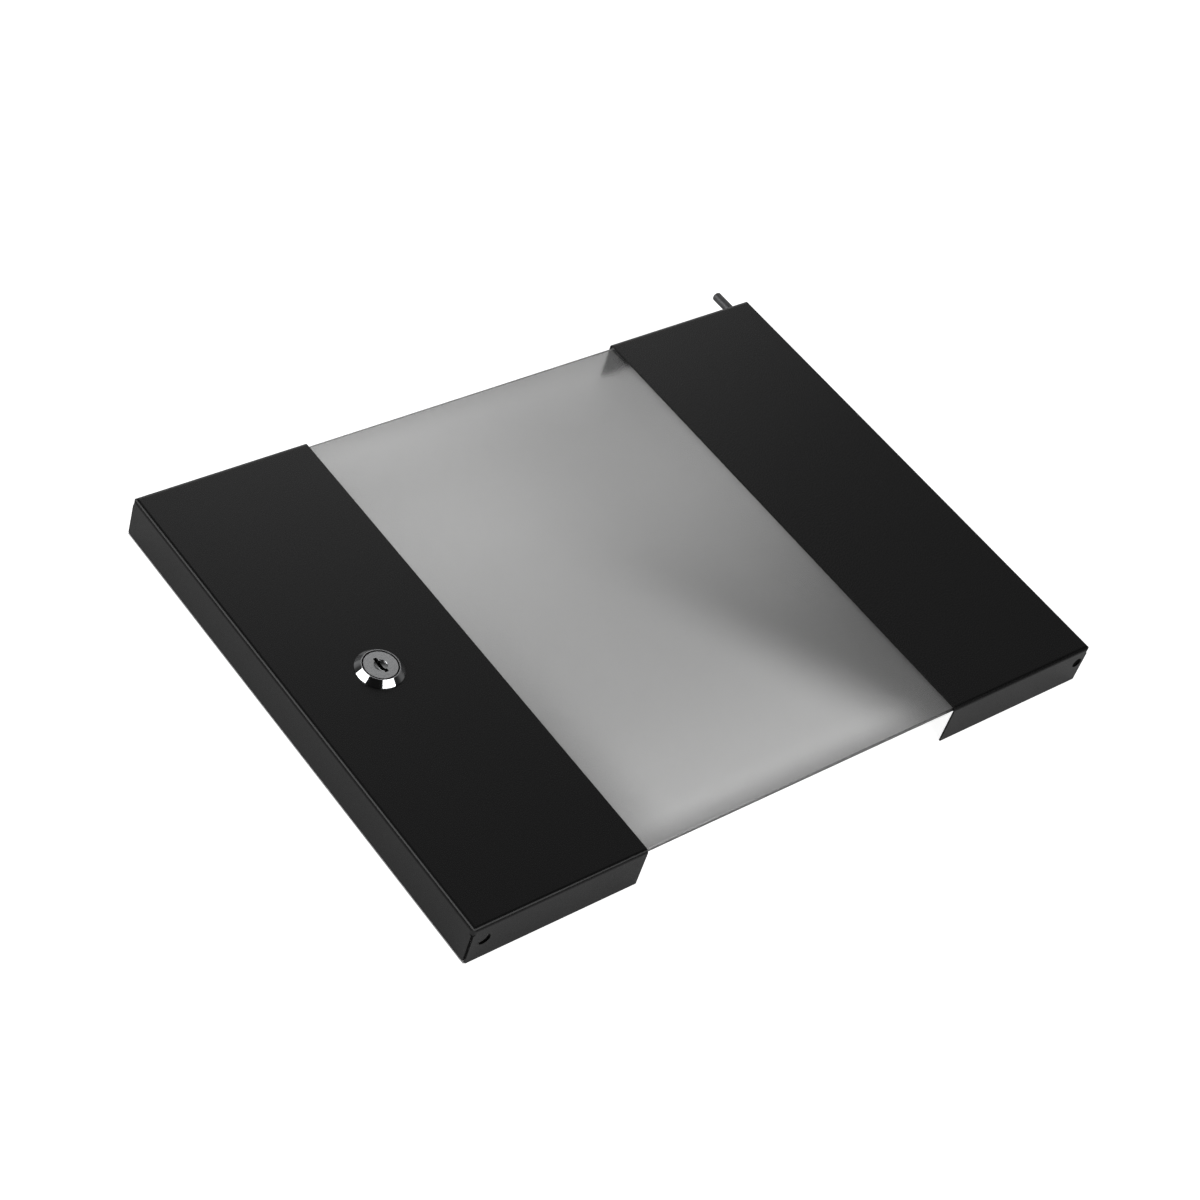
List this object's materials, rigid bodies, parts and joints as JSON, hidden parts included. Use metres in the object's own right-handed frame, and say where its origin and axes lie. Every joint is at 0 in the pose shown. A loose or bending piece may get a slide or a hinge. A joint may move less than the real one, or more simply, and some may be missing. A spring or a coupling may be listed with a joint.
{
  "type": "rack cabinet door",
  "caption": "Lockable rack cabinet door: black folded-steel stiles on both sides of a frosted grey pane, with a chrome cam lock and a sprung hinge pin.",
  "frame": {"origin": "on the hinge axis, in the mouth of the lower hinge hole, on the outer face of the lower end flange", "axes": "+X towards the hinge side, +Y up along the hinge axis of the hung door, +Z out of the front face, so the door lies on its back on the rims of its flanges"},
  "size_m": [0.3, 0.2304, 0.0209],
  "materials": {
    "powder_coat": "satin fine-texture powder coat",
    "satin_glass": "grey tinted, satin etched",
    "mounting_tape": "foam tape",
    "lock_chrome": "polished chrome plate",
    "zinc_plate": "zinc plated",
    "pin_steel": "drawn steel, oiled",
    "spring_steel": "spring wire"
  },
  "bodies": {
    "door": {"lock_stile": "powder_coat", "hinge_stile": "powder_coat", "glass_pane": "satin_glass", "lock_side_tape": "mounting_tape", "hinge_side_tape": "mounting_tape", "lock_housing": "lock_chrome", "lock_washer": "zinc_plate", "lock_nut": "zinc_plate", "hinge_spring": "spring_steel", "pin_bracket": "powder_coat"},
    "lock_core": {"lock_plug": "lock_chrome", "stop_washer": "zinc_plate", "lock_cam": "zinc_plate", "cam_spring_washer": "zinc_plate", "cam_screw": "zinc_plate"},
    "pin": {"hinge_pin": "pin_steel", "pin_collar": "pin_steel"}
  },
  "joints": [
    {"name": "lock_turn", "type": "hinge", "parent": "door", "child": "lock_core", "pos_m": [-0.2596, 0.109, 0.0073], "axis": [0, 0, 1], "range_deg": [0, 90]},
    {"name": "pin_slide", "type": "slide", "parent": "door", "child": "pin", "axis": [0, 1, 0], "range_m": [-0.014, 0], "stiffness_N_per_m": 200, "springref_m": 0.01, "deforming": ["hinge_spring"]}
  ]
}
